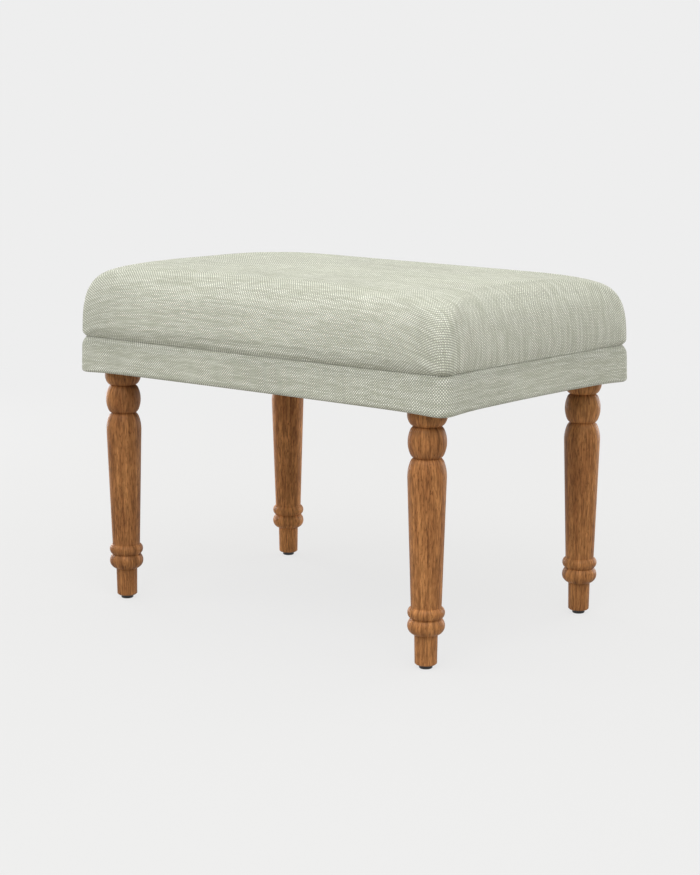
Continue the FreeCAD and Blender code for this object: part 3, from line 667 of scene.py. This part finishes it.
# Materials
class Nodes:
    """A tree of shader nodes: each call adds a node and gives back its output."""

    def __init__(self, tree):
        self.tree = tree

    def plug(self, socket, value):
        """Link an output to a socket, or set the socket's own value."""
        if isinstance(value, bpy.types.NodeSocket):
            self.tree.links.new(value, socket)
        else:
            socket.default_value = value

    def add(self, kind, inputs, output=0, **settings):
        """Any node, with its inputs by name or number."""
        node = self.tree.nodes.new(kind)
        for key, value in settings.items():
            setattr(node, key, value)
        for key, value in inputs.items():
            self.plug(node.inputs[key], value)
        return node.outputs[output]

    def math(self, operation, first, second=0.0, third=0.0):
        """Arithmetic on up to three values."""
        return self.add("ShaderNodeMath", {0: first, 1: second, 2: third}, operation=operation)

    def times(self, first, second):
        """A product."""
        return self.math("MULTIPLY", first, second)

    def sum_of(self, first, first_share, second, second_share):
        """Two values added in given shares."""
        return self.math("ADD", self.times(first, first_share), self.times(second, second_share))

    def wave(self, value, length):
        """A sine wave whose half period is a length."""
        return self.math("SINE", self.times(value, math.pi / length))

    def blend(self, share, first, second):
        """A colour between two others."""
        return self.add("ShaderNodeMix", {0: share, 6: first, 7: second}, 2, data_type="RGBA")

    def shade(self, tint, share):
        """A colour made darker or lighter."""
        return self.add("ShaderNodeVectorMath", {0: tint, "Scale": share}, operation="SCALE")

    def scale_range(self, value, low, high, new_low=0.0, new_high=1.0):
        """A value moved smoothly from one range to another."""
        inputs = {"Value": value, 1: low, 2: high, 3: new_low, 4: new_high}
        return self.add("ShaderNodeMapRange", inputs, interpolation_type="SMOOTHSTEP")

    def noise(self, vector, scale=1.0, detail=2.0, roughness=0.5, distortion=0.0):
        """Soft noise from 0 to 1."""
        inputs = {"Vector": vector, "Scale": scale, "Detail": detail}
        inputs.update({"Roughness": roughness, "Distortion": distortion})
        return self.add("ShaderNodeTexNoise", inputs)

    def place(self, x, y, z=0.0):
        """A vector from three values."""
        return self.add("ShaderNodeCombineXYZ", {0: x, 1: y, 2: z})

    def parts(self, vector):
        """The three values of a vector."""
        node = self.tree.nodes.new("ShaderNodeSeparateXYZ")
        self.plug(node.inputs[0], vector)
        return node.outputs[0], node.outputs[1], node.outputs[2]

    def object_place(self):
        """Place on the object, in metres."""
        return self.add("ShaderNodeTexCoord", {}, "Object")

    def flat_place(self):
        """Place on the cut cloth as it lies flat, in metres."""
        return self.add("ShaderNodeUVMap", {}, uv_map="flat")

    def seen_ray(self):
        """1 where the picture shows a place, straight or by way of gloss or glass, and 0 for other light."""
        rays = self.tree.nodes.new("ShaderNodeLightPath")
        seen = self.math("MAXIMUM", rays.outputs["Is Camera Ray"], rays.outputs["Is Glossy Ray"])
        return self.math("MAXIMUM", seen, rays.outputs["Is Transmission Ray"])


class Shader(Nodes):
    """One material's nodes, with the constants of its surface set on their own sockets."""

    def __init__(self, name, **constants):
        self.material = bpy.data.materials.new(name)
        self.material.use_nodes = True
        super().__init__(self.material.node_tree)
        self.surface = self.tree.nodes["Principled BSDF"]
        for socket, value in constants.items():
            self.surface.inputs[socket.replace("_", " ")].default_value = value

    def finish(self, tint, roughness, height, depth, strength=1.0):
        """Plug colour, roughness and relief into the surface."""
        self.plug(self.surface.inputs["Base Color"], tint)
        self.plug(self.surface.inputs["Roughness"], roughness)
        bump = self.add("ShaderNodeBump", {"Strength": strength, "Distance": depth, "Height": height})
        self.plug(self.surface.inputs["Normal"], bump)
        return self.material


def colour(red, green, blue):
    """A screen colour from 0 to 255 as the linear colour that a shader takes."""
    linear = []
    for part in (red, green, blue):
        share = part / 255
        linear.append(share / 12.92 if share <= 0.04045 else ((share + 0.055) / 1.055) ** 2.4)
    return (*linear, 1.0)


def thread_noise(s, along, stretch, thread, spread):
    """Noise along the threads, different from one thread to the next."""
    return s.noise(s.place(s.times(along, stretch), s.times(thread, spread)), scale=1.0, detail=1.0)


def wandering(s, value, noise):
    """A thread count that wavers by up to half a thread."""
    return s.math("ADD", value, s.math("MULTIPLY_ADD", noise, 0.9, -0.45))


def woven_cloth(name, light, middle, dark, thread, slub, painted_shade=1.0):
    """Plain weave with slubby threads along the flat cloth's length, and painted shade that darkens its upper
    edge in place of the shadow in the groove.
    """
    s = Shader(name, Sheen_Weight=0.12, Sheen_Roughness=0.45, Specular_IOR_Level=0.2)
    u, v, _ = s.parts(s.flat_place())
    across = wandering(s, s.math("DIVIDE", u, thread), s.noise(s.place(u, v), scale=60.0))
    along = wandering(s, s.math("DIVIDE", v, thread), s.noise(s.place(v, u), scale=45.0))
    crossing = s.times(s.wave(across, 1.0), s.wave(along, 1.0))
    raised = s.math("POWER", s.math("ABSOLUTE", crossing), 0.6)
    on_top = s.scale_range(crossing, -0.15, 0.15)

    weft = s.math("FLOOR", along)
    warp = s.math("FLOOR", across)
    weft_short = thread_noise(s, u, 38.0, weft, 17.31)
    weft_long = thread_noise(s, u, 9.0, weft, 5.77)
    weft_dash = thread_noise(s, u, 110.0, weft, 23.57)
    warp_long = thread_noise(s, v, 16.0, warp, 11.93)
    weft_tone = s.math("ADD", s.sum_of(weft_short, 0.45, weft_long, 0.4), s.times(weft_dash, 0.15))
    weft_tone = s.scale_range(weft_tone, 0.5 - slub, 0.5 + slub)
    warp_tone = s.scale_range(warp_long, 0.2, 0.8, 0.0, 0.25)

    weft_colour = s.blend(weft_tone, middle, light)
    warp_colour = s.blend(warp_tone, dark, middle)
    thread_colour = s.blend(on_top, warp_colour, weft_colour)
    gap = s.scale_range(raised, 0.0, 0.7, 0.42, 1.0)
    blotch = s.scale_range(s.noise(s.place(u, v), scale=7.0, detail=3.0), 0.3, 0.7, 0.95, 1.03)
    tone = s.times(gap, blotch)
    # painted shade: darker along the cloth's upper edge, fading out lower down, in place of the shadow under
    # the seat's overhang
    if painted_shade < 1.0:
        tone = s.times(tone, s.scale_range(v, -PAINTED_SHADE_REACH, -PAINTED_SHADE_WIDTH, 1.0, painted_shade))
    height = s.math("ADD", raised, s.times(weft_tone, 0.5))
    roughness = s.scale_range(weft_tone, 0.0, 1.0, 0.95, 0.82)
    return s.finish(s.shade(thread_colour, tone), roughness, height, depth=0.0005, strength=0.7)


def turned_wood(name, centre, seed, tone):
    """Satin wood with fine grain and short pores that run up the turning, made lighter or darker by a tone
    that is painted light.
    """
    s = Shader(name, Specular_IOR_Level=0.12)
    x, y, z = s.parts(s.object_place())
    x = s.math("SUBTRACT", x, centre.x)
    y = s.math("SUBTRACT", y, centre.y)
    turn = s.math("ARCTAN2", y, x)
    round_x = s.times(s.math("COSINE", turn), 0.02)
    round_y = s.times(s.math("SINE", turn), 0.02)

    def up_the_leg(stretch, start):
        """A place on the turning, with what is drawn there stretched along the leg."""
        return s.place(round_x, round_y, s.math("MULTIPLY_ADD", z, stretch, seed + start))

    grain = s.noise(up_the_leg(0.05, 0.0), scale=230.0, detail=4.0, roughness=0.65)
    streaks = s.noise(up_the_leg(0.14, 3.0), scale=540.0, detail=2.0, roughness=0.6)
    pores = s.noise(up_the_leg(0.22, 5.0), scale=620.0, detail=2.0, roughness=0.6)
    cloud = s.noise(s.place(x, y, s.math("MULTIPLY_ADD", z, 0.35, seed)), scale=24.0, detail=3.0)
    mix = s.sum_of(grain, 0.6, cloud, 0.4)
    base = s.blend(s.scale_range(mix, 0.32, 0.68), colour(134, 86, 50), colour(188, 131, 80))
    pore = s.scale_range(pores, 0.55, 0.70)
    stained = s.blend(s.times(pore, 0.6), base, colour(92, 54, 28))
    # painted light: the tone scales the wood's brightness in place of the light on this leg
    light = s.times(s.scale_range(streaks, 0.30, 0.70, 0.72, 1.34), tone)
    roughness = s.scale_range(mix, 0.3, 0.7, 0.5, 0.4)
    height = s.math("SUBTRACT", s.times(streaks, 0.5), pore)
    return s.finish(s.shade(stained, light), roughness, height, depth=0.0002, strength=0.5)


def sawn_wood(name, along):
    """Planed pale softwood with growth lines along one axis."""
    s = Shader(name, Specular_IOR_Level=0.3)
    stretch = [70.0, 70.0, 70.0]
    stretch[along] = 3.0
    place = s.add("ShaderNodeVectorMath", {0: s.object_place(), 1: stretch}, operation="MULTIPLY")
    grain = s.noise(place, scale=1.0, detail=5.0, roughness=0.65)
    lines = s.math("SINE", s.times(grain, 42.0))
    base = s.blend(s.scale_range(lines, -1.0, 1.0), colour(196, 158, 108), colour(224, 192, 146))
    return s.finish(base, s.scale_range(grain, 0.3, 0.7, 0.7, 0.55), lines, depth=0.0002, strength=0.4)


def moulded_plastic(name):
    """Black moulded plastic with a faint grain and light scuffs."""
    s = Shader(name, Specular_IOR_Level=0.5)
    place = s.object_place()
    grain = s.noise(place, scale=1800.0)
    scuff = s.noise(place, scale=180.0, detail=3.0)
    base = s.blend(s.scale_range(scuff, 0.4, 0.7, 0.0, 0.25), colour(20, 19, 18), colour(60, 58, 56))
    return s.finish(base, s.scale_range(scuff, 0.3, 0.7, 0.3, 0.5), grain, depth=0.00005)


def plated_steel(name, bright, dull):
    """Steel with a thin plating that is uneven in tone and shine."""
    s = Shader(name, Metallic=1.0)
    place = s.object_place()
    cloud = s.noise(place, scale=240.0, detail=4.0, roughness=0.6)
    grain = s.noise(place, scale=2400.0)
    base = s.blend(s.scale_range(cloud, 0.35, 0.65), dull, bright)
    return s.finish(base, s.scale_range(cloud, 0.3, 0.7, 0.45, 0.28), grain, depth=0.00003)


def jute_strap(name, along):
    """Coarse jute webbing, ribbed across its length."""
    s = Shader(name, Specular_IOR_Level=0.15)
    parts = s.parts(s.object_place())
    weave = s.times(s.wave(parts[along], 0.0016), s.wave(parts[1 - along], 0.0022))
    fibre = s.noise(s.object_place(), scale=900.0, detail=3.0, roughness=0.7)
    tone = s.sum_of(s.math("ABSOLUTE", weave), 0.6, fibre, 0.5)
    base = s.blend(s.scale_range(tone, 0.2, 0.9), colour(126, 98, 62), colour(202, 174, 128))
    return s.finish(base, 0.92, tone, depth=0.0005, strength=0.8)


def foam_rubber(name):
    """Cut foam with small open cells."""
    s = Shader(name, Specular_IOR_Level=0.1)
    place = s.object_place()
    cells = s.add("ShaderNodeTexVoronoi", {"Vector": place, "Scale": 900.0}, "Distance")
    cloud = s.noise(place, scale=30.0, detail=3.0)
    tone = s.times(s.scale_range(cells, 0.0, 0.6), s.scale_range(cloud, 0.2, 0.8, 0.85, 1.0))
    base = s.blend(tone, colour(214, 196, 140), colour(244, 234, 198))
    return s.finish(base, 0.95, cells, depth=0.0004, strength=0.8)


def fibre_wadding(name):
    """White wadding of tangled fibres."""
    s = Shader(name, Specular_IOR_Level=0.15, Sheen_Weight=0.3, Sheen_Roughness=0.6)
    place = s.object_place()
    tangle = s.noise(place, scale=260.0, detail=5.0, distortion=2.5)
    tufts = s.noise(place, scale=35.0, detail=3.0)
    tone = s.sum_of(tangle, 0.7, tufts, 0.3)
    base = s.blend(s.scale_range(tone, 0.3, 0.7), colour(214, 214, 210), colour(246, 246, 244))
    return s.finish(base, 0.96, tone, depth=0.0012, strength=0.8)


def grey_card(name):
    """Rolled card with flecks of fibre."""
    s = Shader(name, Specular_IOR_Level=0.2)
    place = s.object_place()
    fleck = s.noise(place, scale=700.0, detail=3.0, roughness=0.7)
    cloud = s.noise(place, scale=60.0, detail=3.0)
    tone = s.sum_of(fleck, 0.6, cloud, 0.4)
    base = s.blend(s.scale_range(tone, 0.35, 0.65), colour(128, 112, 92), colour(168, 152, 128))
    return s.finish(base, 0.85, fleck, depth=0.0001, strength=0.6)


def bonded_cloth(name):
    """Thin black lining of matted fibres, bonded at small points."""
    s = Shader(name, Specular_IOR_Level=0.2, Sheen_Weight=0.15, Sheen_Roughness=0.5)
    u, v, _ = s.parts(s.flat_place())
    dots = s.times(s.wave(s.math("ADD", u, v), 0.0014), s.wave(s.math("SUBTRACT", u, v), 0.0014))
    bond = s.scale_range(dots, 0.3, 0.7)
    fibre = s.noise(s.place(u, v), scale=500.0, detail=4.0, distortion=3.0)
    tone = s.math("MULTIPLY_ADD", bond, -0.35, fibre)
    base = s.blend(s.scale_range(tone, 0.1, 0.8), colour(16, 16, 17), colour(58, 58, 60))
    return s.finish(base, s.scale_range(bond, 0.0, 1.0, 0.9, 0.6), tone, depth=0.0002, strength=0.7)


# Cloths
cover_look = {
    "light": colour(253, 255, 243),
    "middle": colour(214, 217, 199),
    "dark": colour(162, 163, 151),
    "thread": THREAD,
    "slub": 0.12,
}
cover_cloth = woven_cloth("cover_cloth", **cover_look)
# the band's cloth, with painted shade along its top
border_cloth = woven_cloth("border_cloth", **cover_look, painted_shade=0.84)
hessian = woven_cloth(
    "deck_hessian",
    light=colour(206, 178, 132),
    middle=colour(176, 148, 104),
    dark=colour(120, 96, 62),
    thread=0.0016,
    slub=0.2,
)

# Materials of the nodes that stay as they are
finishes = {
    "steel_wire": plated_steel("steel_wire", colour(190, 190, 192), colour(140, 140, 144)),
    "zinc_steel": plated_steel("zinc_steel", colour(214, 214, 208), colour(168, 166, 158)),
    "glide_plastic": moulded_plastic("glide_plastic"),
    "tack_card": grey_card("tack_card"),
}
wood_along = [sawn_wood("frame_wood_long", 0), sawn_wood("frame_wood_short", 1)]
jute_along = [jute_strap("webbing_jute_long", 0), jute_strap("webbing_jute_cross", 1)]
ends = ("left_rail", "right_rail")
for name, node in nodes.items():
    slot = node.data.materials[0].name
    if slot == "leg_wood":
        # a leg's tone is painted light, and its seed gives its own grain
        seed = GRAIN_START + GRAIN_STEP * LEGS.index(name)
        finish = turned_wood("leg_wood_" + name, leg_centre(name), seed, LEG_PAINTED_LIGHT[name])
    elif slot == "frame_wood":
        finish = wood_along[1 if name in ends else 0]
    elif slot == "webbing_jute":
        finish = jute_along[1 if "cross" in name else 0]
    else:
        finish = finishes.get(slot)
    if finish is not None:
        node.data.materials[0] = finish

# Pieces of the seat, what each stands for and what it is made of
upholstery = [
    (seat, "seat_cover", "cover_fabric", cover_cloth, COVER_THICKNESS),
    (wrap, "fibre_wrap", "fibre_wadding", fibre_wadding("fibre_wadding_white"), WRAP_THICKNESS),
    (foam, "foam_core", "seat_foam", foam_rubber("seat_foam_cells"), None),
    (band, "border_band", "cover_fabric", border_cloth, BAND_THICKNESS),
    (padding, "rail_padding", "fibre_wadding", fibre_wadding("frame_wadding_white"), PADDING_THICKNESS),
    (deck, "deck_cloth", "deck_hessian", hessian, DECK_THICKNESS),
    (dust, "dust_cover", "dust_cloth", bonded_cloth("dust_cloth_black"), DUST_THICKNESS),
]
for piece, node, slot, finish, thickness in upholstery:
    piece.data.materials.append(finish)
    if thickness is not None:
        thicken(piece, thickness)
    if piece in (seat, band):
        smooth(piece)
    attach(piece, "root")
    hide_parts(node)


# Stage: pale floor, even background, light that is stronger from overhead, and soft boxes
BACKGROUND = colour(238, 238, 238)
FLOOR_BOUNCE = colour(183, 181, 178)
FLOOR_TINT = colour(206, 205, 204)
FLOOR_GLOW = 0.85
FLOOR_FADE = (0.5, 2.5)
FLOOR_RADIUS = 14
FLOOR_SIDES = 96
DOME_TINT = (1.0, 1.0, 0.9, 1.0)
DOME_LOW = 0.20
DOME_HIGH = 0.70
LAMP_TINT = (0.97, 0.965, 1.0)


def studio_floor(background, tint, bounce):
    """A pale floor that keeps a soft shadow, fades into the background and throws little light back up."""
    s = Shader("studio_floor", Roughness=0.9, Specular_IOR_Level=0.0)
    x, y, _ = s.parts(s.object_place())
    away = s.math("SQRT", s.math("ADD", s.times(x, x), s.times(y, y)))
    fade = s.scale_range(away, *FLOOR_FADE, FLOOR_GLOW, 1.0)
    seen = s.seen_ray()
    s.plug(s.surface.inputs["Base Color"], s.blend(seen, bounce, tint))
    glow = s.add("ShaderNodeEmission", {"Color": background, "Strength": 1.0})
    mixed = s.add("ShaderNodeMixShader", {0: s.times(seen, fade), 1: s.surface.outputs[0], 2: glow})
    s.plug(s.tree.nodes["Material Output"].inputs["Surface"], mixed)
    return s.material


def studio_world(tint, overhead, level):
    """Soft light that is stronger from overhead, and the background's own colour where it is seen."""
    world = bpy.data.worlds.new("studio")
    world.use_nodes = True
    bpy.context.scene.world = world
    s = Nodes(world.node_tree)
    _, _, height = s.parts(s.add("ShaderNodeTexCoord", {}, "Generated"))
    light = s.tree.nodes["Background"]
    s.plug(light.inputs["Color"], DOME_TINT)
    s.plug(light.inputs["Strength"], s.scale_range(height, DOME_LOW, DOME_HIGH, level, overhead))
    shown = s.add("ShaderNodeBackground", {"Color": tint})
    mixed = s.add("ShaderNodeMixShader", {0: s.seen_ray(), 1: light.outputs[0], 2: shown})
    s.plug(s.tree.nodes["World Output"].inputs["Surface"], mixed)


def soft_lamp(name, place, aim, size, power):
    """A square soft box that faces a point."""
    lamp = bpy.data.lights.new(name, "AREA")
    lamp.size = size
    lamp.energy = power
    lamp.color = LAMP_TINT
    box = bpy.data.objects.new(name, lamp)
    box.location = place
    box.rotation_euler = (Vector(place) - Vector(aim)).to_track_quat("Z", "Y").to_euler()
    bpy.context.scene.collection.objects.link(box)


bpy.ops.mesh.primitive_circle_add(
    vertices=FLOOR_SIDES, radius=FLOOR_RADIUS, fill_type="NGON", location=(0, 0, 0)
)
floor = bpy.context.object
floor.name = "studio_floor"
floor.data.materials.append(studio_floor(BACKGROUND, FLOOR_TINT, FLOOR_BOUNCE))
studio_world(BACKGROUND, overhead=0.97, level=0.14)
soft_lamp("key", place=(1.0, -1.35, 2.3), aim=(0, 0, 0.35), size=2.0, power=42)
soft_lamp("left", place=(-1.3, -1.7, 1.5), aim=(0, 0, 0.3), size=1.4, power=10)
soft_lamp("right", place=(2.2, 0.4, 1.5), aim=(0, 0, 0.3), size=1.4, power=5)
soft_lamp("rim_left", place=(-2.1, 0.3, 0.5), aim=(-0.2, 0.1, 0.2), size=1.0, power=17)
soft_lamp("rim_back", place=(0.6, 2.2, 0.5), aim=(-0.2, 0.1, 0.2), size=1.0, power=17)

# Camera
back = Vector(
    (
        math.sin(CAMERA_AZIMUTH) * math.cos(CAMERA_ELEVATION),
        -math.cos(CAMERA_AZIMUTH) * math.cos(CAMERA_ELEVATION),
        math.sin(CAMERA_ELEVATION),
    )
)
right = Vector((math.cos(CAMERA_AZIMUTH), math.sin(CAMERA_AZIMUTH), 0.0))
up = back.cross(right)
camera = bpy.data.objects.new("camera", bpy.data.cameras.new("camera"))
camera.data.sensor_fit = "VERTICAL"
camera.data.sensor_height = SENSOR_SIZE
camera.data.lens = CAMERA_LENS
camera.matrix_world = Matrix((right, up, back)).transposed().to_4x4()
camera.location = CAMERA_AIM + back * CAMERA_DISTANCE
bpy.context.scene.collection.objects.link(camera)
bpy.context.scene.camera = camera
bpy.context.scene.view_settings.view_transform = "Standard"
